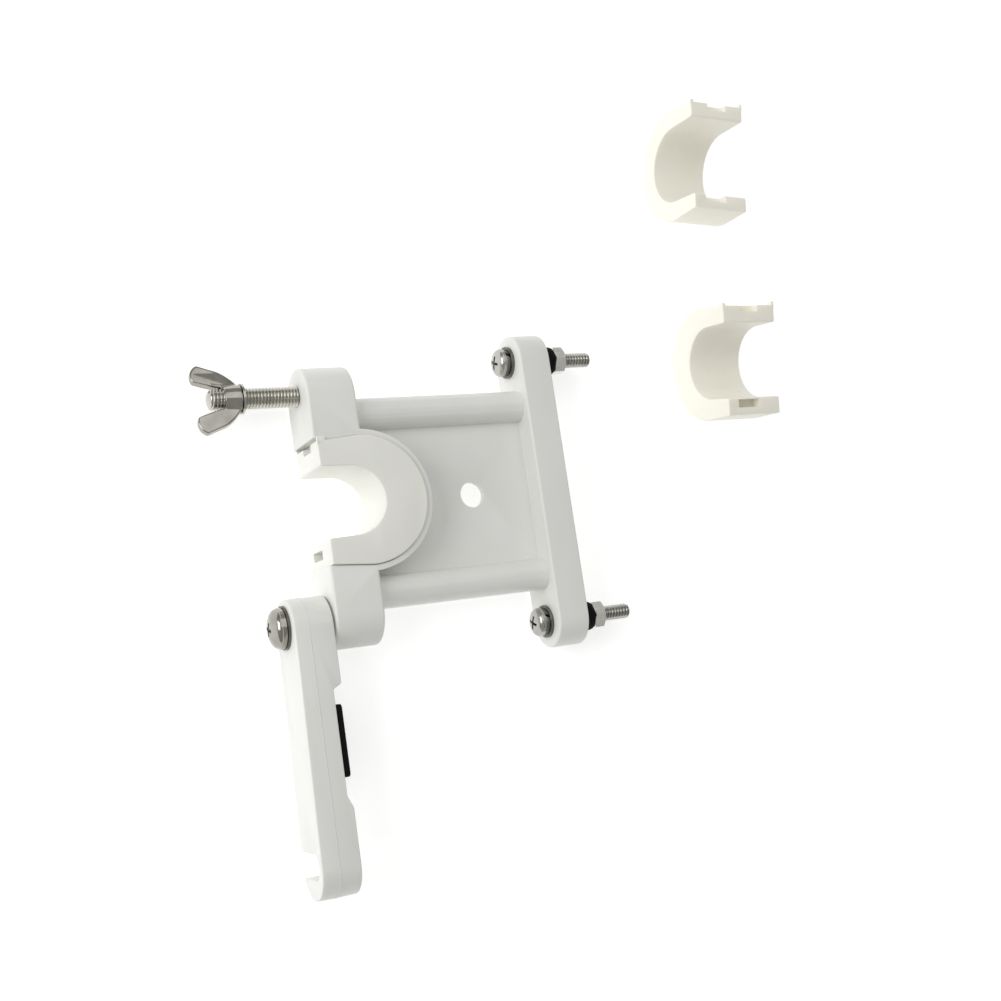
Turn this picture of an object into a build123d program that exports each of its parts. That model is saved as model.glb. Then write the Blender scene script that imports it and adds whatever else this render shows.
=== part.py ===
"""Pole clamp bracket with a swinging clamp arm, a fitted jaw insert and two spare inserts.

Frame, in millimetres: the pole that the clamp holds runs along Z through the origin, X points
to the mounting flange, Y points to the boss that carries the wing nut. The bracket lies on its
back, so the rear faces of its bosses rest on the plane z = -boss_half_depth.
"""
import os
from math import cos, pi, radians, tan

from build123d import *

os.makedirs("parts", exist_ok=True)

# Clamp and jaw
bore_radius = 12.9            # fitted insert, for a 25.4 mm pole
pad_face_x = -bore_radius     # the closed arm's pad touches the pole here
seat_x = 5.4                  # axis of the round seat in the collar
insert_radius = 24.1
insert_gap = 0.25             # insert to seat
collar_wall = 2.35
mouth_half = 22.7             # insert's half width at its open end
insert_end_x = -10.6
insert_front_z = 13.7
tab_length, tab_thickness = 3.0, 1.4
front_tab_height, rear_tab_height = 1.5, 1.1
tab_root = 1.5                # how far a tab reaches down into the arm
insert_rim = 0.5
insert_flare = 0.5            # the bore opens this much towards its mouth
insert_notch_depth, insert_notch_width, insert_notch_z = 2.6, 9.0, -3.9
pocket_y, pocket_z = -17.9, -2.0
pocket_height, pocket_width, pocket_depth = 3.4, 10.5, 5.5
mouth_round = 1.0             # between the bore and the arms' end faces
# Spare inserts: pole diameter, and x of the bore's middle when the insert is fitted
spare_poles = {"medium": (30.0, 0.7), "large": (31.75, 4.3)}
pole_play = 0.4
# Where each spare lies: x of its near end, y of its middle, yaw and roll in degrees
spare_places = {"medium": (164.7, 45.8, 0.0, 10.0), "large": (165.9, 134.6, -4.0, 6.0)}

# Bracket body
boss_x0, boss_x1 = -11.6, 7.2
boss_half_height = 52.8
boss_half_depth = 12.4
bolt_y = 42.5                 # hinge at -bolt_y, wing stud at +bolt_y
rib_y, rib_radius, rib_reach = 33.8, 6.1, 8.5
web_half = 1.5
web_hole_x, web_hole_radius = 53.6, 5.05
flange_x0, flange_x1 = 78.3, 91.5
flange_half_length, flange_half_depth = 63.0, 11.3
flange_screw_y = 52.5
flange_rim, boss_rim = 0.9, 1.1
rib_sink = 2.0                # ribs and web run this far into the flange

# Clamp arm
arm_inner_x, arm_outer_x = -12.5, -27.2
arm_half_depth = 11.7
arm_top_y, arm_tip_y = -32.2, -139.2
arm_parting_x = -21.8         # mould split, where the arm is deepest
arm_splay = 1.3               # the long leg leans this far outwards by its tip
arm_draft = 1.2               # degrees, to both sides of the mould split
recess_depth = 3.2
recess_top_y, recess_end_y = -65.0, -108.4
recess_top_run, recess_end_run = 1.6, 4.2
recess_fillet = 1.2
pad_half_length, pad_half_width = 12.9, 10.0
pad_thickness = pad_face_x - (arm_inner_x - recess_depth)
pad_corner, pad_rim = 1.5, 0.6
stud_distance = 2 * bolt_y    # hinge to wing stud
notch_y = -bolt_y - stud_distance + 0.4   # the stud comes in on an arc, so the slot sits nearer
notch_end_z, notch_radius = 3.4, 4.6

# Fasteners
m8_radius, m6_radius = 4.0, 3.0
stud_tip_x = -45.2
stud_dome = 2.2               # rounding of the stud's free end
stud_head_x0, stud_head_length, stud_head_flats = -2.0, 5.3, 13.0
wing_washer_radius, wing_washer_thickness = 5.7, 0.8
wing_base_x = -33.1           # outer face of the wing washer at rest
wing_hub_length = 6.6
wing_hub_foot, wing_hub_top = 5.2, 4.9    # hub radius at its washer and at its outer end
wing_half_thickness = 1.45
wing_reach, wing_rise = 14.0, 17.1        # a wing's tip: from the stud's axis, and from the foot
wing_turn = -15               # degrees from the bracket's plane, as the nut stands at rest
hinge_washer_thickness, hinge_washer_radius = 1.0, 8.0
dome_radius, dome_height = 7.5, 5.2
dome_slot = (5.4, 1.5)        # cross recess: length and width of each arm
dome_slot_depth = 2.6
dome_slot_turn = 20
hinge_insert_radius, hinge_insert_depth = 5.6, 13.0
flat_radius, flat_thickness = 6.4, 1.3
lock_radius, lock_thickness = 5.6, 1.5
pan_radius, pan_height = 5.6, 3.4
pan_rim = 1.2                 # straight edge under the crown
pan_slot = (6.4, 1.25)
pan_slot_depth = 1.9
pan_slot_turn = 25
screw_tip_rim = 1.6
split_width, split_turn = 1.1, 25
bush_radius, bush_length = 5.8, 6.2
m6_nut_flats, m6_nut_height = 10.0, 5.0
flange_screw_length = 40.0
running_gap = 0.05            # moving fit, on the radius
thread_gap = 0.02             # nut or insert on its thread, on the radius
shank_gap = 0.15              # washer on its screw, on the radius
nut_chamfer = 30


def save(part, name):
    """Label a finished piece and write it to its own file."""
    part.label = name
    export_step(part, f"parts/{name}.step")


def turned(outline, axis_y):
    """A body of revolution about the line y = axis_y along X, from (x, radius) points."""
    with BuildPart() as piece:
        with BuildSketch(Plane.XY):
            with BuildLine():
                Polyline([(x, axis_y + r) for x, r in outline], close=True)
            make_face()
        revolve(axis=Axis((0, axis_y, 0), (1, 0, 0)))
    return piece.part


def jaw_outline(centre_x, radius, end_x, end_half):
    """A round-backed outline about x = centre_x, whose two arms run to x = end_x."""
    top, bottom = (centre_x, radius), (centre_x, -radius)
    upper_end, lower_end = (end_x, end_half), (end_x, -end_half)
    with BuildSketch() as outline:
        with BuildLine():
            Line(upper_end, top)
            ThreePointArc(top, (centre_x + radius, 0), bottom)
            Line(bottom, lower_end)
            Line(lower_end, upper_end)
        make_face()
    return outline.sketch


# ---------------------------------------------------------------- bracket body
seat_radius = insert_radius + insert_gap
collar_radius = seat_radius + collar_wall - insert_gap
body_depth = 2 * boss_half_depth
arm_lean = (insert_radius - mouth_half) / (seat_x - insert_end_x)
mouth_x = boss_x0 - 5
seat_outline = jaw_outline(seat_x, seat_radius, mouth_x, seat_radius - arm_lean * (seat_x - mouth_x))

with BuildPart() as bracket_body:
    with BuildSketch(Plane.YZ.offset(flange_x0)):
        SlotOverall(2 * flange_half_length, 2 * flange_half_depth)
    extrude(amount=flange_x1 - flange_x0)
    fillet(bracket_body.edges(), radius=flange_rim)

    with BuildSketch(Plane.YZ.offset(boss_x0)):
        SlotOverall(2 * boss_half_height, body_depth)
    extrude(amount=boss_x1 - boss_x0)
    boss_rims = bracket_body.edges().filter_by_position(Axis.X, boss_x0 - 1, boss_x1 + 1)
    fillet(boss_rims.filter_by(Axis.X, reverse=True), radius=boss_rim)

    # Collar round the seat, cut off level with the boss's outer face
    with BuildSketch(Plane.XY.offset(-boss_half_depth)):
        with Locations((seat_x, 0)):
            Circle(collar_radius)
        with Locations((boss_x0 + boss_rim, 0)):
            Rectangle(100, 100, align=(Align.MIN, Align.CENTER), mode=Mode.INTERSECT)
    extrude(amount=body_depth)

    # Web and the two round-fronted ribs between boss and flange
    with BuildSketch(Plane.XY.offset(-web_half)):
        with Locations((seat_x, 0)):
            Rectangle(flange_x0 + rib_sink - seat_x, 2 * rib_y, align=(Align.MIN, Align.CENTER))
    extrude(amount=2 * web_half)
    with BuildSketch(Plane.YZ.offset(seat_x)):
        with Locations((rib_y, 0), (-rib_y, 0)):
            SlotOverall(2 * rib_reach, 2 * rib_radius, rotation=90)
    extrude(amount=flange_x0 + rib_sink - seat_x)

    # Seat for the inserts, open towards the arm
    with BuildSketch(Plane.XY.offset(-boss_half_depth - 1)):
        add(seat_outline)
    extrude(amount=body_depth + 2, mode=Mode.SUBTRACT)

    # Rebate along the mouth's upper edge, where the inserts' rear tab passes
    with BuildSketch(Plane.XY.offset(-boss_half_depth - 1)):
        with Locations((boss_x0 - 1, mouth_half - 1)):
            rebate_length = insert_end_x + tab_length + insert_gap - boss_x0 + 1
            Rectangle(rebate_length, 1 + rear_tab_height + insert_gap, align=(Align.MIN, Align.MIN))
    extrude(amount=body_depth + 2, mode=Mode.SUBTRACT)

    # Drain hole in the web
    with BuildSketch(Plane.XY.offset(-web_half - 1)):
        with Locations((web_hole_x, 0)):
            Circle(web_hole_radius)
    extrude(amount=2 * web_half + 2, mode=Mode.SUBTRACT)

    # Flange screw holes
    with BuildSketch(Plane.YZ.offset(flange_x0 - 1)):
        with Locations((flange_screw_y, 0), (-flange_screw_y, 0)):
            Circle(m6_radius + 0.2)
    extrude(amount=flange_x1 - flange_x0 + 2, mode=Mode.SUBTRACT)

    # Moulded-in threaded insert of the hinge, and the blind hole beyond it for the screw
    with BuildSketch(Plane.YZ.offset(boss_x0 - 1)):
        with Locations((-bolt_y, 0)):
            Circle(hinge_insert_radius)
    extrude(amount=hinge_insert_depth + 1, mode=Mode.SUBTRACT)

    # Moulded-in wing stud: shank, then its hexagonal head inside the boss
    with BuildSketch(Plane.YZ.offset(boss_x0 - 1)):
        with Locations((bolt_y, 0)):
            Circle(m8_radius)
    extrude(amount=stud_head_x0 - boss_x0 + 1, mode=Mode.SUBTRACT)
    with BuildSketch(Plane.YZ.offset(stud_head_x0)):
        with Locations((bolt_y, 0)):
            RegularPolygon(stud_head_flats / 2, 6, major_radius=False)
    extrude(amount=stud_head_length, mode=Mode.SUBTRACT)

save(bracket_body.part, "bracket_body")


# ---------------------------------------------------------------- jaw inserts
def make_insert(bore, bore_x):
    """A jaw insert in its fitted place, bored for a pole of radius bore about x = bore_x."""
    rear_z = -boss_half_depth
    length = insert_front_z - rear_z
    outer = jaw_outline(seat_x, insert_radius, insert_end_x, mouth_half)
    inner = jaw_outline(bore_x, bore, insert_end_x - 4, bore + insert_flare)
    with BuildPart() as insert:
        with BuildSketch(Plane.XY.offset(rear_z)):
            add(outer)
            add(inner, mode=Mode.SUBTRACT)
        extrude(amount=length)
        mouth_edges = insert.edges().filter_by(Axis.Z).group_by(Axis.X)[0]
        fillet(mouth_edges.sort_by(Axis.Y)[1:3], radius=mouth_round)
        fillet(insert.edges().group_by(Axis.Z)[-1], radius=insert_rim)
        fillet(insert.edges().group_by(Axis.Z)[0], radius=insert_rim)

        # Tabs at both ends of the upper arm: the front one laps over the boss, the rear one
        # runs in the rebate of the boss's mouth
        tab_foot = (insert_end_x, mouth_half - tab_root)
        with BuildSketch(Plane.XY.offset(boss_half_depth + running_gap)):
            with Locations(tab_foot):
                Rectangle(tab_length, tab_root + front_tab_height, align=(Align.MIN, Align.MIN))
        extrude(amount=insert_front_z - boss_half_depth - running_gap)
        with BuildSketch(Plane.XY.offset(rear_z)):
            with Locations(tab_foot):
                Rectangle(tab_length, tab_root + rear_tab_height, align=(Align.MIN, Align.MIN))
        extrude(amount=tab_thickness)

        # Notch across the outer side of the upper arm's end, between the tabs
        with BuildSketch(Plane.XY.offset(insert_notch_z)):
            with Locations((insert_end_x - 1, mouth_half - insert_notch_depth)):
                Rectangle(tab_length + 2, 10, align=(Align.MIN, Align.MIN))
        extrude(amount=insert_notch_width, mode=Mode.SUBTRACT)

        # Pocket in the end face of the lower arm
        with BuildSketch(Plane.YZ.offset(insert_end_x - 1)):
            with Locations((pocket_y, pocket_z)):
                Rectangle(pocket_height, pocket_width)
        extrude(amount=pocket_depth + 1, mode=Mode.SUBTRACT)
    return insert.part


save(make_insert(bore_radius, 0.0), "jaw_insert")

# Each spare lies on its curved back beyond the flange, open side up
for size, (pole, bore_x) in spare_poles.items():
    spare_radius = (pole + pole_play) / 2
    spare = make_insert(spare_radius, bore_x)
    near_x, centre_y, yaw, roll = spare_places[size]
    lying = Location((near_x, centre_y, insert_radius - boss_half_depth))
    turn = Rot(0, 0, yaw) * Rot(roll, 0, 0) * Rot(0, 90, 0)
    to_axis = Pos(-seat_x, 0, boss_half_depth)
    placed = lying * turn * to_axis * spare
    save(placed, f"spare_insert_{size}")


# ---------------------------------------------------------------- clamp arm
arm_depth = 2 * arm_half_depth
arm_length = arm_top_y - arm_tip_y
arm_middle_y = (arm_top_y + arm_tip_y) / 2
leg_y = arm_top_y - arm_depth

with BuildPart() as clamp_arm:
    # Rounded bar with mould draft to both sides of the parting line
    with BuildSketch(Plane.YZ.offset(arm_parting_x)):
        with Locations((arm_middle_y, 0)):
            SlotOverall(arm_length, arm_depth)
    extrude(amount=arm_inner_x - arm_parting_x, taper=arm_draft)
    with BuildSketch(Plane.YZ.offset(arm_parting_x)):
        with Locations((arm_middle_y, 0)):
            SlotOverall(arm_length, arm_depth)
    extrude(amount=arm_outer_x - arm_splay - arm_parting_x, taper=arm_draft)

    # Side profile: flat at the hinge, leaning leg, recess for the pad
    tip_y = arm_tip_y - 1
    floor_x = arm_inner_x - recess_depth
    with BuildSketch(Plane.XY.offset(-arm_depth)):
        with BuildLine():
            Polyline(
                (arm_inner_x, arm_top_y + 1), (arm_outer_x, arm_top_y + 1), (arm_outer_x, leg_y),
                (arm_outer_x - arm_splay, tip_y), (arm_inner_x - arm_splay, tip_y),
                (arm_inner_x - arm_splay, recess_end_y), (floor_x, recess_end_y + recess_end_run),
                (floor_x, recess_top_y - recess_top_run), (arm_inner_x, recess_top_y), close=True,
            )
        make_face()
    extrude(amount=2 * arm_depth, mode=Mode.INTERSECT)
    recess_edges = clamp_arm.edges().filter_by(Axis.Z)
    fillet(recess_edges.filter_by_position(Axis.Y, recess_end_y - 1, recess_top_y + 1), radius=recess_fillet)

    # Hinge hole, and the hook notch that drops over the wing stud
    with BuildSketch(Plane.YZ.offset(arm_outer_x - 5)):
        with Locations((-bolt_y, 0)):
            Circle(m8_radius + running_gap)
    extrude(amount=25, mode=Mode.SUBTRACT)
    with BuildSketch(Plane.YZ.offset(arm_outer_x - 5)):
        with Locations((notch_y, notch_end_z)):
            Circle(notch_radius)
        with Locations((notch_y, notch_end_z)):
            Rectangle(2 * notch_radius, 30, align=(Align.CENTER, Align.MAX))
    extrude(amount=25, mode=Mode.SUBTRACT)

save(clamp_arm.part, "clamp_arm")

with BuildPart() as arm_pad:
    with BuildSketch(Plane.YZ.offset(pad_face_x - pad_thickness)):
        with Locations((-2 * bolt_y, 0)):
            RectangleRounded(2 * pad_half_length, 2 * pad_half_width, pad_corner)
    extrude(amount=pad_thickness)
    fillet(arm_pad.edges().group_by(Axis.X)[-1], radius=pad_rim)
save(arm_pad.part, "arm_pad")


# ---------------------------------------------------------------- hinge
washer_x = arm_outer_x - running_gap - hinge_washer_thickness
with BuildPart() as hinge_screw:
    with BuildSketch(Plane.XY):
        with BuildLine():
            Line((washer_x, -bolt_y), (washer_x, dome_radius - bolt_y))
            ThreePointArc(
                (washer_x, dome_radius - bolt_y),
                (washer_x - 0.62 * dome_height, 0.70 * dome_radius - bolt_y),
                (washer_x - dome_height, -bolt_y),
            )
            Line((washer_x - dome_height, -bolt_y), (washer_x, -bolt_y))
        make_face()
    revolve(axis=Axis((0, -bolt_y, 0), (1, 0, 0)))
    with BuildSketch(Plane.YZ.offset(washer_x)):
        with Locations((-bolt_y, 0)):
            Circle(m8_radius)
    extrude(amount=boss_x0 + hinge_insert_depth - 1 - washer_x)
    chamfer(hinge_screw.edges().group_by(Axis.X)[-1], length=0.8)
    # Cross recess
    with BuildSketch(Plane.YZ.offset(washer_x - dome_height - 1)):
        with Locations((-bolt_y, 0)):
            Rectangle(*dome_slot, rotation=dome_slot_turn)
            Rectangle(*dome_slot, rotation=dome_slot_turn + 90)
    extrude(amount=dome_slot_depth + 1, mode=Mode.SUBTRACT)
save(hinge_screw.part, "hinge_screw")

ring = [(washer_x, m8_radius + 0.1), (washer_x, hinge_washer_radius),
        (washer_x + hinge_washer_thickness, hinge_washer_radius),
        (washer_x + hinge_washer_thickness, m8_radius + 0.1)]
save(turned(ring, -bolt_y), "hinge_washer")

spacer_x0, spacer_x1 = arm_inner_x + running_gap, boss_x0
ring = [(spacer_x0, m8_radius + 0.1), (spacer_x0, hinge_washer_radius - 0.5),
        (spacer_x1, hinge_washer_radius - 0.5), (spacer_x1, m8_radius + 0.1)]
save(turned(ring, -bolt_y), "hinge_spacer")

insert_x1 = boss_x0 + hinge_insert_depth
ring = [(boss_x0, m8_radius + 0.01), (boss_x0, hinge_insert_radius), (insert_x1, hinge_insert_radius),
        (insert_x1, m8_radius + 0.01)]
save(turned(ring, -bolt_y), "hinge_thread_insert")


# ---------------------------------------------------------------- wing stud and nut
with BuildPart() as wing_stud:
    with BuildSketch(Plane.YZ.offset(stud_tip_x)):
        with Locations((bolt_y, 0)):
            Circle(m8_radius)
    extrude(amount=stud_head_x0 - stud_tip_x)
    fillet(wing_stud.edges().group_by(Axis.X)[0], radius=stud_dome)
    with BuildSketch(Plane.YZ.offset(stud_head_x0)):
        with Locations((bolt_y, 0)):
            RegularPolygon(stud_head_flats / 2, 6, major_radius=False)
    extrude(amount=stud_head_length)
save(wing_stud.part, "wing_stud")

hole = m8_radius + running_gap
ring = [(wing_base_x, hole), (wing_base_x, wing_washer_radius),
        (wing_base_x + wing_washer_thickness, wing_washer_radius),
        (wing_base_x + wing_washer_thickness, hole)]
save(turned(ring, bolt_y), "wing_washer")

with BuildPart() as wing_nut:
    with BuildSketch(Plane.XY):
        with BuildLine():
            hub_top_x = wing_base_x - wing_hub_length
            Polyline(
                (wing_base_x, bolt_y), (wing_base_x, bolt_y + wing_hub_foot),
                (hub_top_x, bolt_y + wing_hub_top), (hub_top_x, bolt_y), close=True,
            )
        make_face()
    revolve(axis=Axis((0, bolt_y, 0), (1, 0, 0)))
    for side in (1, -1):
        with BuildSketch(Plane.XY.offset(-wing_half_thickness)):
            with BuildLine():
                foot = (wing_base_x - 0.4, bolt_y + side * 4.9)
                bulge = (wing_base_x - 3.1, bolt_y + side * 8.2)
                shoulder = (wing_base_x - 7.0, bolt_y + side * 11.1)
                tip_outer = (wing_base_x - 14.4, bolt_y + side * wing_reach)
                tip_end = (wing_base_x - wing_rise, bolt_y + side * 10.2)
                tip_inner = (wing_base_x - 16.8, bolt_y + side * 7.0)
                crotch = (wing_base_x - 9.2, bolt_y + side * 4.7)
                inner = (hub_top_x + 2, bolt_y + side * 4.2)
                ThreePointArc(foot, bulge, shoulder)
                Line(shoulder, tip_outer)
                ThreePointArc(tip_outer, tip_end, tip_inner)
                Line(tip_inner, crotch)
                Line(crotch, inner)
                Line(inner, foot)
            make_face()
        extrude(amount=2 * wing_half_thickness)
    with BuildSketch(Plane.YZ.offset(wing_base_x - 20)):
        with Locations((bolt_y, 0)):
            Circle(m8_radius + thread_gap)
    extrude(amount=22, mode=Mode.SUBTRACT)
save(wing_nut.part.rotate(Axis((0, bolt_y, 0), (1, 0, 0)), wing_turn), "wing_nut")


# ---------------------------------------------------------------- flange fasteners
flat_x0 = flange_x0 - flat_thickness
lock_x0 = flat_x0 - lock_thickness
bush_x1 = flange_x1 + bush_length
nut_x1 = bush_x1 + m6_nut_height

for place, y in (("upper", flange_screw_y), ("lower", -flange_screw_y)):
    with BuildPart() as flange_screw:
        with BuildSketch(Plane.XY):
            with BuildLine():
                rim = (lock_x0 - pan_rim, y + pan_radius)
                Line((lock_x0, y), (lock_x0, y + pan_radius))
                Line((lock_x0, y + pan_radius), rim)
                ThreePointArc(rim, (lock_x0 - 2.7, y + 3.6), (lock_x0 - pan_height, y))
                Line((lock_x0 - pan_height, y), (lock_x0, y))
            make_face()
        revolve(axis=Axis((0, y, 0), (1, 0, 0)))
        with BuildSketch(Plane.YZ.offset(lock_x0)):
            with Locations((y, 0)):
                Circle(m6_radius)
        extrude(amount=flange_screw_length)
        fillet(flange_screw.edges().group_by(Axis.X)[-1], radius=screw_tip_rim)
        with BuildSketch(Plane.YZ.offset(lock_x0 - pan_height - 1)):
            with Locations((y, 0)):
                Rectangle(*pan_slot, rotation=pan_slot_turn)
                Rectangle(*pan_slot, rotation=pan_slot_turn + 90)
        extrude(amount=pan_slot_depth + 1, mode=Mode.SUBTRACT)
    save(flange_screw.part, f"flange_screw_{place}")

    hole = m6_radius + shank_gap
    ring = [(flat_x0, hole), (flat_x0, flat_radius), (flange_x0, flat_radius), (flange_x0, hole)]
    save(turned(ring, y), f"flange_flat_washer_{place}")

    with BuildPart() as lock_washer:
        with BuildSketch(Plane.YZ.offset(lock_x0)):
            with Locations((y, 0)):
                Circle(lock_radius)
                Circle(hole, mode=Mode.SUBTRACT)
            with Locations((y, lock_radius)):
                Rectangle(split_width, 2 * lock_radius, rotation=split_turn, mode=Mode.SUBTRACT)
        extrude(amount=lock_thickness)
    save(lock_washer.part, f"flange_lock_washer_{place}")

    hole = m6_radius + thread_gap
    ring = [(flange_x1, hole), (flange_x1, bush_radius), (bush_x1, bush_radius), (bush_x1, hole)]
    save(turned(ring, y), f"flange_bush_{place}")

    with BuildPart() as flange_nut:
        with BuildSketch(Plane.YZ.offset(bush_x1)):
            with Locations((y, 0)):
                RegularPolygon(m6_nut_flats / 2, 6, major_radius=False, rotation=30)
                Circle(hole, mode=Mode.SUBTRACT)
        extrude(amount=m6_nut_height)
        # Corners turned off to a cone on both faces
        corner = m6_nut_flats / 2 / cos(pi / 6)
        slope = (corner - m6_nut_flats / 2) * tan(radians(nut_chamfer))
        with BuildSketch(Plane.XY):
            with BuildLine():
                Polyline(
                    (bush_x1, y), (bush_x1, y + m6_nut_flats / 2), (bush_x1 + slope, y + corner),
                    (nut_x1 - slope, y + corner), (nut_x1, y + m6_nut_flats / 2), (nut_x1, y),
                    close=True,
                )
            make_face()
        revolve(axis=Axis((0, y, 0), (1, 0, 0)), mode=Mode.INTERSECT)
    save(flange_nut.part, f"flange_nut_{place}")
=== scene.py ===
import math

import bmesh
import bpy
from mathutils import Matrix, Vector


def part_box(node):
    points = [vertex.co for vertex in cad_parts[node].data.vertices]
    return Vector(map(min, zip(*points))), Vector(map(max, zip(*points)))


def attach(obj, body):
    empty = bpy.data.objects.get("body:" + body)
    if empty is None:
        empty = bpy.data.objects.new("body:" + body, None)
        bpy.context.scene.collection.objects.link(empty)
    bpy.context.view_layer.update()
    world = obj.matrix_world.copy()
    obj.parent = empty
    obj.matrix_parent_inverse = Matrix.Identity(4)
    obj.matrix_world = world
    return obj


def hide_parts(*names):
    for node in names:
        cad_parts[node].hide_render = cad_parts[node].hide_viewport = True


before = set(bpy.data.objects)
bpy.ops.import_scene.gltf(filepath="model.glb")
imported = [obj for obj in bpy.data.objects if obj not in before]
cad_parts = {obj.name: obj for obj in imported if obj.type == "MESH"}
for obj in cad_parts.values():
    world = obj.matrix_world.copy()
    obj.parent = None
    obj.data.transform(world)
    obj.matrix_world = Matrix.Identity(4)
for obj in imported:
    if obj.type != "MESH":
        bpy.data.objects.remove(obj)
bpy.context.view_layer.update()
MM = 0.001


# ---------------------------------------------------------------- materials
def new_material(name):
    """An empty node material with its shader and output."""
    material = bpy.data.materials.new(name)
    material.use_nodes = True
    tree = material.node_tree
    shader = tree.nodes["Principled BSDF"]
    return material, tree, shader


def object_noise(tree, scale, detail=4.0, stretch=(1, 1, 1)):
    """Noise in the piece's own coordinates, in metres, stretched per axis."""
    place = tree.nodes.new("ShaderNodeTexCoord")
    mapping = tree.nodes.new("ShaderNodeMapping")
    mapping.inputs["Scale"].default_value = stretch
    noise = tree.nodes.new("ShaderNodeTexNoise")
    noise.inputs["Scale"].default_value = scale
    noise.inputs["Detail"].default_value = detail
    tree.links.new(place.outputs["Object"], mapping.inputs["Vector"])
    tree.links.new(mapping.outputs["Vector"], noise.inputs["Vector"])
    return noise


def ramp(tree, source, low, high, start=0.3, end=0.7):
    """Colours from low to high as the source goes from start to end."""
    node = tree.nodes.new("ShaderNodeValToRGB")
    node.color_ramp.elements[0].position = start
    node.color_ramp.elements[1].position = end
    node.color_ramp.elements[0].color = (*low, 1)
    node.color_ramp.elements[1].color = (*high, 1)
    tree.links.new(source, node.inputs["Fac"])
    return node.outputs["Color"]


def spread(tree, source, low, high):
    """The source's middle range stretched to low..high."""
    node = tree.nodes.new("ShaderNodeMapRange")
    node.inputs["From Min"].default_value = 0.3
    node.inputs["From Max"].default_value = 0.7
    node.inputs["To Min"].default_value = low
    node.inputs["To Max"].default_value = high
    tree.links.new(source, node.inputs["Value"])
    return node.outputs["Result"]


def bump(tree, shader, source, height, strength=1.0):
    """Relief of the given height, in metres, from the source."""
    node = tree.nodes.new("ShaderNodeBump")
    node.inputs["Distance"].default_value = height
    node.inputs["Strength"].default_value = strength
    tree.links.new(source, node.inputs["Height"])
    tree.links.new(node.outputs["Normal"], shader.inputs["Normal"])


def moulded_plastic(name, low, high, roughness, glow):
    """Satin moulded plastic: faint flow mottling, fine mould grain, a little depth."""
    material, tree, shader = new_material(name)
    cloud = object_noise(tree, 55, 3, (1, 0.5, 1))
    grain = object_noise(tree, 2600, 2)
    tree.links.new(ramp(tree, cloud.outputs["Fac"], low, high), shader.inputs["Base Color"])
    tree.links.new(spread(tree, grain.outputs["Fac"], *roughness), shader.inputs["Roughness"])
    bump(tree, shader, grain.outputs["Fac"], 0.00004, 0.25)
    shader.inputs["IOR"].default_value = 1.49
    shader.inputs["Subsurface Weight"].default_value = glow
    shader.inputs["Subsurface Radius"].default_value = (1.0, 0.85, 0.6)
    shader.inputs["Subsurface Scale"].default_value = 0.002
    return material


def polished_steel(name, low, high, roughness, stretch):
    """Stainless steel with fine lines drawn out along the axes of low stretch."""
    material, tree, shader = new_material(name)
    lines = object_noise(tree, 900, 3, stretch)
    tone = object_noise(tree, 160, 3)
    tree.links.new(ramp(tree, tone.outputs["Fac"], low, high), shader.inputs["Base Color"])
    tree.links.new(spread(tree, lines.outputs["Fac"], *roughness), shader.inputs["Roughness"])
    bump(tree, shader, lines.outputs["Fac"], 0.00003, 0.12)
    shader.inputs["Metallic"].default_value = 1.0
    return material


def soft_rubber(name):
    """Black rubber with a fine open grain."""
    material, tree, shader = new_material(name)
    grain = object_noise(tree, 1500, 5)
    tone = ramp(tree, grain.outputs["Fac"], (0.004, 0.004, 0.0045), (0.010, 0.010, 0.011))
    tree.links.new(tone, shader.inputs["Base Color"])
    tree.links.new(spread(tree, grain.outputs["Fac"], 0.55, 0.75), shader.inputs["Roughness"])
    bump(tree, shader, grain.outputs["Fac"], 0.00008, 0.5)
    shader.inputs["Specular IOR Level"].default_value = 0.08
    return material


# Each plastic: darkest and lightest tone, roughness range, glow. Each metal: the same, with the
# stretch of its lines per axis in place of the glow.
white = moulded_plastic(
    "white_plastic", (0.77, 0.775, 0.745), (0.80, 0.805, 0.775), (0.34, 0.46), 0.05,
)
ivory = moulded_plastic("ivory_plastic", (0.82, 0.82, 0.77), (0.85, 0.85, 0.80), (0.36, 0.48), 0.10)
cream = moulded_plastic("cream_plastic", (0.93, 0.90, 0.80), (0.96, 0.93, 0.84), (0.38, 0.50), 0.30)
nylon = moulded_plastic("nylon", (0.62, 0.62, 0.58), (0.68, 0.68, 0.64), (0.45, 0.55), 0.10)
# Painted shade: a darker copy of the same stainless steel for the wing nut and hinge screw, whose
# left-facing faces reflect the bright floor.
steel = polished_steel(
    "polished_steel", (0.31, 0.30, 0.27), (0.41, 0.40, 0.36), (0.08, 0.16), (1, 1, 1),
)
# Painted shade: the pan heads and wing washer get a darkened copy of the stainless steel, as their
# faces turn to the bright floor on the left; the turned lines are real.
turned_painted_shade_steel = polished_steel(
    "turned_painted_shade_steel", (0.42, 0.415, 0.39), (0.52, 0.51, 0.48), (0.14, 0.26), (9, 1, 1),
)
thread_steel = polished_steel(
    "thread_steel", (0.48, 0.47, 0.43), (0.60, 0.59, 0.54), (0.16, 0.26), (9, 1, 1),
)
# Painted light: a lighter copy of the same stainless steel for the nuts, whose faces reflect the dim
# part of the world.
painted_light_nut_steel = polished_steel(
    "painted_light_nut_steel", (0.74, 0.735, 0.69), (0.84, 0.83, 0.79), (0.22, 0.34), (9, 1, 1),
)
# Painted shade: near-black steel that stands in for the shade on the washers under the heads and inside
# the driver recesses.
painted_shade_steel = polished_steel(
    "painted_shade_steel", (0.13, 0.125, 0.115), (0.20, 0.195, 0.18), (0.25, 0.38), (9, 1, 1),
)
brass = polished_steel("brass", (0.60, 0.44, 0.20), (0.70, 0.53, 0.27), (0.22, 0.34), (9, 1, 1))
rubber = soft_rubber("black_rubber")

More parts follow.
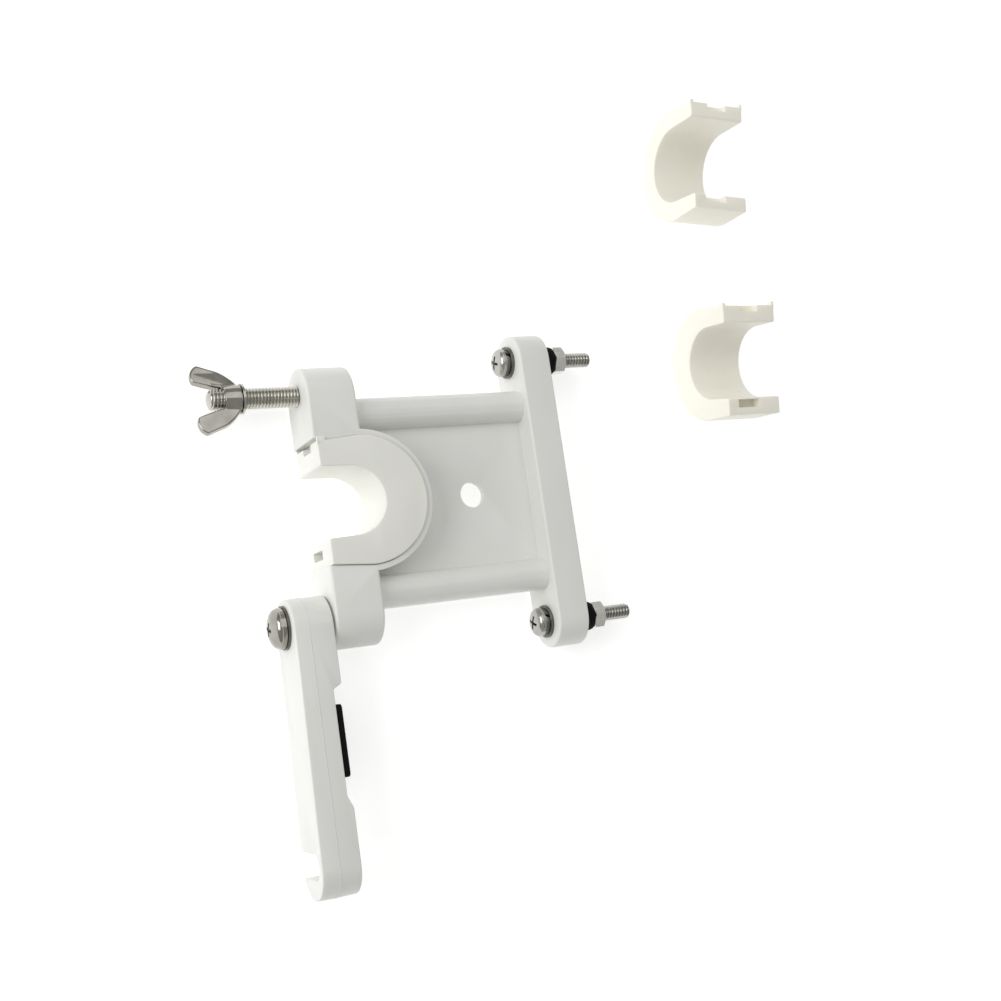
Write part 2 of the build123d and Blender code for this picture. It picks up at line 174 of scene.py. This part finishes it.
# hinge_washer takes the painted-shade steel, wing_washer the turned steel darkened as painted shade.
node_materials = {
    "bracket_body": white, "clamp_arm": white, "jaw_insert": ivory, "spare_insert_medium": cream,
    "spare_insert_large": cream, "arm_pad": rubber, "hinge_spacer": nylon, "hinge_thread_insert": brass,
    "hinge_washer": painted_shade_steel, "wing_washer": turned_painted_shade_steel,
}


# ---------------------------------------------------------------- mesh tools
LATHE_SEGMENTS = 96
WELD_DISTANCE = 1e-7


def solid_mesh(name, points, faces, weld=None):
    """A closed mesh with its faces turned outwards. Points closer than weld are joined."""
    mesh = bpy.data.meshes.new(name)
    mesh.from_pydata(points, [], faces)
    shell = bmesh.new()
    shell.from_mesh(mesh)
    if weld:
        bmesh.ops.remove_doubles(shell, verts=shell.verts, dist=weld)
    bmesh.ops.recalc_face_normals(shell, faces=shell.faces)
    shell.to_mesh(mesh)
    shell.free()
    return mesh


def place_mesh(name, mesh, material, body, replaced, smooth_angle=35):
    """Links a mesh as a finished piece that stands for its CAD node."""
    piece = bpy.data.objects.new(name, mesh)
    bpy.context.scene.collection.objects.link(piece)
    mesh.shade_smooth()
    mesh.set_sharp_from_angle(angle=math.radians(smooth_angle))
    if not mesh.materials:
        mesh.materials.append(material)
    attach(piece, body)
    if replaced:
        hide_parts(replaced)


def finish_mesh(name, points, faces, material, slot, body, replaced, smooth_angle=35):
    """A piece from points and faces, closed and outward-facing, riding on its body."""
    mesh = solid_mesh(name, points, faces, WELD_DISTANCE)
    place_mesh(name, mesh, material, body, replaced, smooth_angle)


def side_faces(rings, count):
    """Four-sided faces between successive rings of count points each."""
    faces = []
    for k in range(rings - 1):
        a, b = k * count, (k + 1) * count
        for i in range(count):
            j = (i + 1) % count
            faces.append((a + i, a + j, b + j, b + i))
    return faces


def end_faces(rings, count):
    """The faces that close the first and the last ring."""
    last = (rings - 1) * count
    return [tuple(range(count)), tuple(range(last, last + count))]


def lathe(stations, axis_y):
    """Points and faces of a surface about the line y = axis_y along X, open at both ends. Each
    station is (x, radius), where radius is a number or a function of the angle."""
    points = []
    for x, radius in stations:
        for i in range(LATHE_SEGMENTS):
            angle = 2 * math.pi * i / LATHE_SEGMENTS
            r = radius(angle) if callable(radius) else radius
            points.append((x * MM, (axis_y + r * math.cos(angle)) * MM, r * math.sin(angle) * MM))
    return points, side_faces(len(stations), LATHE_SEGMENTS)


def capped(points, faces):
    """Closes a lathe's first and last ring."""
    return points, faces + end_faces(len(points) // LATHE_SEGMENTS, LATHE_SEGMENTS)


def looped(points, faces):
    """Joins a lathe's last ring to its first, for a ring-shaped solid."""
    last = len(points) - LATHE_SEGMENTS
    for i in range(LATHE_SEGMENTS):
        j = (i + 1) % LATHE_SEGMENTS
        faces.append((last + i, last + j, j, i))
    return points, faces


def hexagon(flats):
    """Radius of a hexagon by angle, from its width across flats."""
    def radius(angle):
        off = (angle + math.pi / 6) % (math.pi / 3) - math.pi / 6
        return flats / 2 / math.cos(off)
    return radius


def thread_stations(x0, x1, major, pitch, limit):
    """Stations of an ISO-like thread from x0 to x1; limit(x) caps the radius near an end."""
    depth = 0.6134 * pitch
    rings_per_turn = 10
    root_flat, flank = 0.10, 0.74      # shares of half a turn
    count = max(2, round(abs(x1 - x0) / pitch * rings_per_turn))
    stations = []
    for k in range(count + 1):
        x = x0 + (x1 - x0) * k / count

        def radius(angle, x=x):
            turn = (x / pitch + angle / (2 * math.pi)) % 1.0
            ridge = 1 - abs(2 * turn - 1)
            wall = min(1.0, max(0.0, (ridge - root_flat) / flank))
            return min(major - depth * (1 - wall), limit(x))
        stations.append((x, radius))
    return stations


def dome_limit(tip, toward, radius, rounding):
    """Radius cap that rounds a stud's free end; toward is +1 if the stud runs to +X from it."""
    def limit(x):
        inside = (x - tip) * toward
        if inside >= rounding:
            return radius
        rest = 1 - max(0.0, inside) / rounding
        return radius - rounding + rounding * math.sqrt(max(0.0, 1 - rest * rest))
    return limit


def evaluated_copy(item):
    """The object's mesh after its modifiers. The object is then removed."""
    bpy.context.view_layer.update()
    depsgraph = bpy.context.evaluated_depsgraph_get()
    mesh = bpy.data.meshes.new_from_object(item.evaluated_get(depsgraph))
    bpy.data.objects.remove(item)
    return mesh


def cut(piece_mesh, cutter_points, cutter_faces, skin, inside):
    """The mesh less a closed cutter: skin is the mesh's material, inside that of the cut faces."""
    cutter_mesh = solid_mesh("cutter", cutter_points, cutter_faces)
    for mesh in (piece_mesh, cutter_mesh):
        mesh.materials.append(skin)
        mesh.materials.append(inside)
    for face in cutter_mesh.polygons:
        face.material_index = 1
    base = bpy.data.objects.new("cut_base", piece_mesh)
    cutter = bpy.data.objects.new("cutter", cutter_mesh)
    for item in (base, cutter):
        bpy.context.scene.collection.objects.link(item)
    modifier = base.modifiers.new("cut", "BOOLEAN")
    modifier.object = cutter
    modifier.operation = "DIFFERENCE"
    modifier.solver = "EXACT"
    result = evaluated_copy(base)
    bpy.data.objects.remove(cutter)
    return result


def cross_cutter(face_x, depth, reach, half_width, axis_y, turn):
    """A tapered four-winged driver recess, from outside face_x inwards to depth."""
    lead, shoulder = 1.5, 0.75
    insets = (-lead, 0, shoulder * depth, depth)
    widths = (1.10, 1.0, 0.55, 0.18)
    outline = []
    for wing in range(4):
        angle = wing * math.pi / 2
        for along, across in ((half_width, half_width), (reach, half_width), (reach, -half_width)):
            outline.append((along * math.cos(angle) + across * math.sin(angle),
                            along * math.sin(angle) - across * math.cos(angle)))
    points = []
    for inset, share in zip(insets, widths):
        for a, b in outline:
            y = share * (a * math.cos(turn) - b * math.sin(turn))
            z = share * (a * math.sin(turn) + b * math.cos(turn))
            points.append(((face_x + inset) * MM, (axis_y + y) * MM, z * MM))
    return points, end_faces(len(insets), len(outline)) + side_faces(len(insets), len(outline))


def domed_head(crown_x, seat_x, radius, rim, shank, soft, lead, fullness, steps):
    """Stations of a screw's head: a dome, a rim band with soft edges, then the seat."""
    dome_x = seat_x - rim
    stations = []
    for k in range(1, steps + 1):
        angle = math.pi / 2 * k / steps
        stations.append((crown_x + (dome_x - crown_x) * (1 - math.cos(angle)),
                         (radius - soft) * math.sin(angle) ** fullness))
    band = [(dome_x + lead, radius), (seat_x - soft, radius), (seat_x, radius - soft), (seat_x, shank)]
    return stations + band


def recessed_screw(node, stations, axis_y, recess, material):
    """A screw from its stations, with a driver recess cut into its head."""
    rough = solid_mesh(f"{node}_rough", *capped(*lathe(stations, axis_y)))
    # The recess's cut faces take the painted-shade steel, dark for the shade inside the recess.
    mesh = cut(rough, *recess, material, painted_shade_steel)
    place_mesh(f"{node}_detailed", mesh, material, "root", node,
               smooth_angle=40)


def centre_of(node):
    """Middle of a node's box, in millimetres."""
    low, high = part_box(node)
    return (low + high) / 2 / MM


def span_of(node):
    """Lowest and highest x of a node, in millimetres."""
    low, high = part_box(node)
    return low.x / MM, high.x / MM


# ---------------------------------------------------------------- wing stud
# Thread radii and pitches, in millimetres. The flange screws' pitch is coarser than M6's 1.0.
m8, m8_pitch, m6, flange_pitch = 4.0, 1.25, 3.0, 1.35
thread_gap, crest_gap = 0.02, 0.01    # bore on its thread, crest under the nominal radius
shank_gap = 0.15                      # washer on its screw
boss_gap = 0.1                        # where a thread ends, in front of the boss and inside it
wing_y = centre_of("wing_stud").y
boss_x = span_of("bracket_body")[0]


def wing_stud():
    """Threaded stud with a rounded free end and its hexagon head inside the boss."""
    tip_x, head_x1 = span_of("wing_stud")
    head_length, head_flats, rounding = 5.3, 12.9, 2.2
    head_x0, plain = head_x1 - head_length, m8 - thread_gap
    limit = dome_limit(tip_x, 1, m8, rounding)
    threads = thread_stations(tip_x + thread_gap, boss_x - boss_gap, m8, m8_pitch, limit)
    head = [(head_x0, hexagon(head_flats)), (head_x1, hexagon(head_flats))]
    stations = threads + [(boss_x + boss_gap, plain), (head_x0, plain)] + head
    finish_mesh("wing_stud_detailed", *capped(*lathe(stations, wing_y)), thread_steel,
                "stainless_steel", "root", "wing_stud", smooth_angle=50)


wing_stud()


# ---------------------------------------------------------------- wing nut
def arc(start, through, end, steps):
    """Points from start to end on the circle through three points, without the last one."""
    (ax, ay), (bx, by), (cx, cy) = start, through, end
    aa, bb, cc = ax * ax + ay * ay, bx * bx + by * by, cx * cx + cy * cy
    d = 2 * (ax * (by - cy) + bx * (cy - ay) + cx * (ay - by))
    ux = (aa * (by - cy) + bb * (cy - ay) + cc * (ay - by)) / d
    uy = (aa * (cx - bx) + bb * (ax - cx) + cc * (bx - ax)) / d
    radius = math.hypot(ax - ux, ay - uy)
    first = math.atan2(ay - uy, ax - ux)
    middle = (math.atan2(by - uy, bx - ux) - first) % (2 * math.pi)
    whole = (math.atan2(cy - uy, cx - ux) - first) % (2 * math.pi)
    if middle > whole:
        whole -= 2 * math.pi
    angles = [first + whole * k / steps for k in range(steps)]
    return [(ux + radius * math.cos(angle), uy + radius * math.sin(angle)) for angle in angles]


def wing_outline():
    """Outline of one wing: x from the nut's foot, y from its axis."""
    foot, bulge, shoulder = (-0.5, 4.9), (-3.1, 8.2), (-7.0, 11.1)
    outer_edge = (-10.7, 12.55)
    tip_outer, tip_end, tip_inner = (-14.2, 13.95), (-17.0, 10.8), (-16.7, 7.2)
    inner_edge = [(-12.9, 5.85), (-9.2, 4.75), (-6.4, 4.2), (-3.0, 4.3)]
    outline = arc(foot, bulge, shoulder, 8) + [shoulder, outer_edge]
    return outline + arc(tip_outer, tip_end, tip_inner, 9) + [tip_inner] + inner_edge


def wing_solid(foot_x, side):
    """Points and faces of the wing on one side, thicker at its root and rounded at its faces."""
    outline = wing_outline()
    half_thickness, root_extra, root_y, root_run = 1.45, 0.45, 4.0, 4.0
    middle_x, middle_y = -10.0, 9.0
    layers = ((-1, 0.95), (-0.72, 1.0), (0.72, 1.0), (1, 0.95))    # height and size, as shares
    points = []
    for height, size in layers:
        for x, y in outline:
            thickness = half_thickness + root_extra * max(0.0, 1 - (y - root_y) / root_run)
            points.append(((foot_x + middle_x + (x - middle_x) * size) * MM,
                           side * (middle_y + (y - middle_y) * size) * MM,
                           height * thickness * MM))
    return points, end_faces(len(layers), len(outline)) + side_faces(len(layers), len(outline))


def hub_solid(foot_x):
    """Points and faces of the nut's hub, with its bore."""
    bore = m8 + 0.05
    profile = [(0, 4.9), (0.35, 5.25), (2.5, 5.2), (5.6, 4.95), (6.5, 4.75), (6.6, 4.4)]
    wall = [(foot_x - rise, radius) for rise, radius in profile]
    return looped(*lathe([(foot_x, bore)] + wall + [(wall[-1][0], bore)], 0.0))


def cast_wing_nut():
    """Hub and two wings fused by a fine remesh and smoothed, as a polished casting."""
    foot_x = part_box("wing_washer")[0].x / MM
    rest_turn, voxel, smoothing = math.radians(-15), 0.22 * MM, 12
    shell = bmesh.new()
    for points, faces in (hub_solid(foot_x), wing_solid(foot_x, 1), wing_solid(foot_x, -1)):
        made = [shell.verts.new(p) for p in points]
        for face in faces:
            shell.faces.new([made[i] for i in face])
    bmesh.ops.recalc_face_normals(shell, faces=shell.faces)
    mesh = bpy.data.meshes.new("wing_nut_rough")
    shell.to_mesh(mesh)
    shell.free()
    rough = bpy.data.objects.new("wing_nut_rough", mesh)
    bpy.context.scene.collection.objects.link(rough)
    remesh = rough.modifiers.new("remesh", "REMESH")
    remesh.mode = "VOXEL"
    remesh.voxel_size = voxel
    smooth = rough.modifiers.new("smooth", "SMOOTH")
    smooth.factor = 0.5
    smooth.iterations = smoothing
    cast = evaluated_copy(rough)
    cast.transform(Matrix.Translation((0, wing_y * MM, 0)) @ Matrix.Rotation(rest_turn, 4, "X"))
    # The wing nut takes the darker, painted-shade copy of the steel.
    place_mesh("wing_nut_cast", cast, steel, "wing_nut", "wing_nut",
               smooth_angle=180)


cast_wing_nut()


# ---------------------------------------------------------------- hinge screw
def hinge_screw():
    """Domed head with a rim band and a cross recess, on its threaded shank."""
    y = centre_of("hinge_screw").y
    crown_x, tip_x = span_of("hinge_screw")
    seat_x = span_of("hinge_washer")[0]
    tip_radius = 3.2
    shank_end = boss_x - boss_gap
    head = domed_head(crown_x, seat_x, radius=7.5, rim=1.9, shank=m8, soft=0.25, lead=0.15,
                      fullness=1.0, steps=16)
    threads = thread_stations(shank_end + boss_gap, tip_x - thread_gap, m8 - crest_gap, m8_pitch,
                              lambda x: min(m8, tip_radius + tip_x - x))
    recess = cross_cutter(crown_x, depth=2.6, reach=2.7, half_width=0.62, axis_y=y,
                          turn=math.radians(20))
    # The hinge screw takes the darker, painted-shade copy of the steel.
    recessed_screw("hinge_screw", head + [(shank_end, m8 - thread_gap)] + threads, y, recess, steel)


hinge_screw()


# ---------------------------------------------------------------- flange fasteners
def pan_screw(place):
    """Pan head with a cross recess, on a threaded shank with a rounded tip."""
    node = f"flange_screw_{place}"
    y = centre_of(node).y
    crown_x, tip_x = span_of(node)
    seat_x = span_of(f"flange_lock_washer_{place}")[0]
    thread_lead, tip_rounding = 0.3, 1.5
    head = domed_head(crown_x, seat_x, radius=5.6, rim=1.2, shank=m6, soft=0.15, lead=0.1,
                      fullness=0.9, steps=14)
    threads = thread_stations(seat_x + thread_lead, tip_x - thread_gap, m6 - crest_gap, flange_pitch,
                              dome_limit(tip_x, -1, m6, tip_rounding))
    recess = cross_cutter(crown_x, depth=2.0, reach=3.0, half_width=0.55, axis_y=y,
                          turn=math.radians(25))
    # The pan screw takes the turned steel, darkened as painted shade.
    recessed_screw(node, head + threads, y, recess, turned_painted_shade_steel)


def chamfered_nut(place):
    """Hexagon nut whose corners are turned off to a cone at both faces."""
    node = f"flange_nut_{place}"
    y = centre_of(node).y
    x0, x1 = span_of(node)
    flats, bore, countersink = 10.0, m6 + thread_gap, 0.5
    cone_sink, cone_slope = 0.25, 1.732
    depths = [0, 0.08, 0.16, 0.26, 0.36, 0.46, 0.6]
    hexed = hexagon(flats)

    def coned(off):
        return lambda angle: min(hexed(angle), flats / 2 - cone_sink + off * cone_slope)
    outer = [(x0 + d, coned(d)) for d in depths] + [(x1 - d, coned(d)) for d in reversed(depths)]
    near = [(x0 + countersink, bore), (x0, bore + countersink)]
    far = [(x1, bore + countersink), (x1 - countersink, bore)]
    # The nut takes the lighter, painted-light copy of the steel.
    finish_mesh(f"{node}_detailed", *looped(*lathe(near + outer + far, y)), painted_light_nut_steel,
                "stainless_steel", "root", node, smooth_angle=25)


def round_washer(place):
    """Flat washer with softened rims."""
    node = f"flange_flat_washer_{place}"
    y = centre_of(node).y
    x0, x1 = span_of(node)
    outer, bore, soft, corner = 6.4, m6 + shank_gap, 0.2, 0.06
    near = [(x0, bore), (x0, outer - soft), (x0 + corner, outer - corner), (x0 + soft, outer)]
    far = [(x1 - soft, outer), (x1 - corner, outer - corner), (x1, outer - soft), (x1, bore)]
    # The washer takes the painted-shade steel, dark for the shade under the screw head.
    finish_mesh(f"{node}_detailed", *looped(*lathe(near + far, y)), painted_shade_steel,
                "stainless_steel", "root", node)


def split_washer(place):
    """Spring washer: a square-edged ring cut through at a slant."""
    node = f"flange_lock_washer_{place}"
    y = centre_of(node).y
    x0, x1 = span_of(node)
    outer, bore, soft, steps = 5.6, m6 + shank_gap, 0.12, 80
    gap, slant, split_at = math.radians(12), math.radians(10), math.radians(65)
    section = [(x0, bore), (x0, outer - soft), (x0 + soft, outer),
               (x1 - soft, outer), (x1, outer - soft), (x1, bore)]
    points = []
    for k in range(steps + 1):
        for x, r in section:
            lean = slant * (x - x0) / (x1 - x0)
            angle = split_at + gap / 2 + (2 * math.pi - gap) * k / steps + lean
            points.append((x * MM, (y + r * math.cos(angle)) * MM, r * math.sin(angle) * MM))
    faces = side_faces(steps + 1, len(section)) + end_faces(steps + 1, len(section))
    # The spring washer takes the painted-shade steel, dark for the shade under the screw head.
    finish_mesh(f"{node}_detailed", points, faces, painted_shade_steel, "stainless_steel", "root", node)


def rubber_bush(place):
    """Slightly barrelled rubber bush with soft rims."""
    node = f"flange_bush_{place}"
    y = centre_of(node).y
    x0, x1 = span_of(node)
    outer, bore, rim, barrel, steps = 5.8, m6 + thread_gap, 0.5, 0.35, 12
    margin = 0.03                      # share of the length taken by each rim
    stations = [(x0, bore), (x0, outer - rim)]
    for k in range(steps + 1):
        along = margin + (1 - 2 * margin) * k / steps
        stations.append((x0 + (x1 - x0) * along, outer - barrel * (2 * k / steps - 1) ** 4))
    stations += [(x1, outer - rim), (x1, bore)]
    finish_mesh(f"{node}_detailed", *looped(*lathe(stations, y)), rubber, "black_rubber", "root", node)


for place in ("upper", "lower"):
    for make in (pan_screw, chamfered_nut, round_washer, split_washer, rubber_bush):
        make(place)


# ---------------------------------------------------------------- arm's mould line
def parting_line(top_y, tip_y, half_depth):
    """Points (y, z) round the arm's outline, from one side of its back to the notch on it."""
    notch_clear, turns, last_turn = 7.5 * MM, 24, math.radians(235)
    route = [(tip_y + notch_clear, -half_depth)]
    for k in range(turns + 1):
        angle = -math.pi / 2 + math.pi * k / turns
        route.append((top_y + half_depth * math.cos(angle), half_depth * math.sin(angle)))
    for k in range(turns + 1):
        angle = math.pi / 2 + math.pi * k / turns
        if angle < last_turn:
            route.append((tip_y + half_depth * math.cos(angle), half_depth * math.sin(angle)))
    return route


def mould_line():
    """The faint ridge round the arm's widest line, where the mould's halves meet. It stops
    short of the notch on the back."""
    low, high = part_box("clamp_arm")
    half_depth = high.z
    ridge, sides = 0.13 * MM, 6
    nearly = 1e-6
    widest = [v.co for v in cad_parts["clamp_arm"].data.vertices if v.co.z > high.z - nearly]
    parting_x = sum(v.x for v in widest) / len(widest)
    route = parting_line(high.y - half_depth, low.y + half_depth, half_depth)
    across = Vector((1, 0, 0))
    points = []
    for k, (y, z) in enumerate(route):
        before, after = route[max(0, k - 1)], route[min(len(route) - 1, k + 1)]
        along = Vector((0, after[0] - before[0], after[1] - before[1])).normalized()
        out = along.cross(across)
        for i in range(sides):
            angle = 2 * math.pi * i / sides
            offset = ridge * (math.cos(angle) * across + math.sin(angle) * out)
            points.append(Vector((parting_x, y, z)) + offset)
    faces = side_faces(len(route), sides) + end_faces(len(route), sides)
    finish_mesh("arm_mould_line", points, faces, white, "white_plastic", "arm", None,
                smooth_angle=60)


mould_line()


# ---------------------------------------------------------------- carried-over CAD nodes
SHARP_ANGLE = math.radians(32)


def soften(node, width):
    """Rounds a CAD node's edges: its flat faces are merged first, so the bevel has clean loops."""
    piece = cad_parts[node]
    weld = piece.modifiers.new("weld", "WELD")
    weld.merge_threshold = 1e-6
    flat = piece.modifiers.new("flat", "DECIMATE")
    flat.decimate_type = "DISSOLVE"
    flat.angle_limit = math.radians(0.5)
    bevel = piece.modifiers.new("bevel", "BEVEL")
    bevel.width = width
    bevel.segments = 3
    bevel.limit_method = "ANGLE"
    bevel.angle_limit = math.radians(35)
    bevel.use_clamp_overlap = True
    bevel.harden_normals = True


for node, width in (
    ("clamp_arm", 0.9), ("jaw_insert", 0.5), ("spare_insert_medium", 0.5),
    ("spare_insert_large", 0.5), ("bracket_body", 0.4),
):
    soften(node, width * MM)

for node, material in node_materials.items():
    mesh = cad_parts[node].data
    mesh.materials.clear()
    mesh.materials.append(material)
    mesh.shade_smooth()
    mesh.set_sharp_from_angle(angle=SHARP_ANGLE)


# ---------------------------------------------------------------- floor, light, camera
def studio():
    """A pale floor and broad soft lights, brightest from the left."""
    floor_z = min(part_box("spare_insert_medium")[0].z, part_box("bracket_body")[0].z)
    reach = 6.0
    corners = [(-reach, -reach, floor_z), (reach, -reach, floor_z),
               (reach, reach, floor_z), (-reach, reach, floor_z)]
    mesh = bpy.data.meshes.new("floor")
    mesh.from_pydata(corners, [], [(0, 1, 2, 3)])
    floor = bpy.data.objects.new("floor", mesh)
    bpy.context.scene.collection.objects.link(floor)
    material, _, shader = new_material("floor")
    shader.inputs["Base Color"].default_value = (0.92, 0.92, 0.92, 1)
    shader.inputs["Roughness"].default_value = 0.9
    shader.inputs["Specular IOR Level"].default_value = 0.0
    shader.inputs["Emission Color"].default_value = (1, 1, 1, 1)
    shader.inputs["Emission Strength"].default_value = 0.455
    mesh.materials.append(material)

    middle = Vector((0.04, 0, 0))
    for name, where, size, watts in (
        ("key_left", (-1.10, 0.25, 0.65), 0.9, 7.6),
        ("top_soft", (0.1, 0.7, 1.4), 1.4, 4.8),
    ):
        data = bpy.data.lights.new(name, "AREA")
        data.size = size
        data.energy = watts
        light = bpy.data.objects.new(name, data)
        light.location = where
        light.rotation_mode = "QUATERNION"
        light.rotation_quaternion = (middle - Vector(where)).to_track_quat("-Z", "Y")
        bpy.context.scene.collection.objects.link(light)

    world = bpy.data.worlds.new("studio")
    world.use_nodes = True
    world.node_tree.nodes["Background"].inputs["Color"].default_value = (0.9, 0.9, 0.88, 1)
    world.node_tree.nodes["Background"].inputs["Strength"].default_value = 0.48
    bpy.context.scene.world = world
    bpy.context.scene.view_settings.view_transform = "Standard"


def camera():
    """Looks down on the bracket from its hinge side, turned a little about its own axis."""
    azimuth, elevation, roll = 0.46, -0.122, -0.147      # radians
    location, lens = (-0.1657, -0.0671, 0.4677), 47.95   # metres, millimetres
    back = Vector((-math.sin(azimuth) * math.cos(elevation), math.sin(elevation),
                   math.cos(azimuth) * math.cos(elevation)))
    right = Vector((0, 1, 0)).cross(back).normalized()
    up = back.cross(right)
    turned_right = math.cos(roll) * right + math.sin(roll) * up
    turned_up = math.cos(roll) * up - math.sin(roll) * right
    data = bpy.data.cameras.new("camera")
    data.sensor_width = 36.0
    data.lens = lens
    data.clip_start = 0.01
    data.clip_end = 20
    item = bpy.data.objects.new("camera", data)
    axes = Matrix((turned_right, turned_up, back)).transposed().to_4x4()
    item.matrix_world = Matrix.Translation(location) @ axes
    bpy.context.scene.collection.objects.link(item)
    bpy.context.scene.camera = item


studio()
camera()
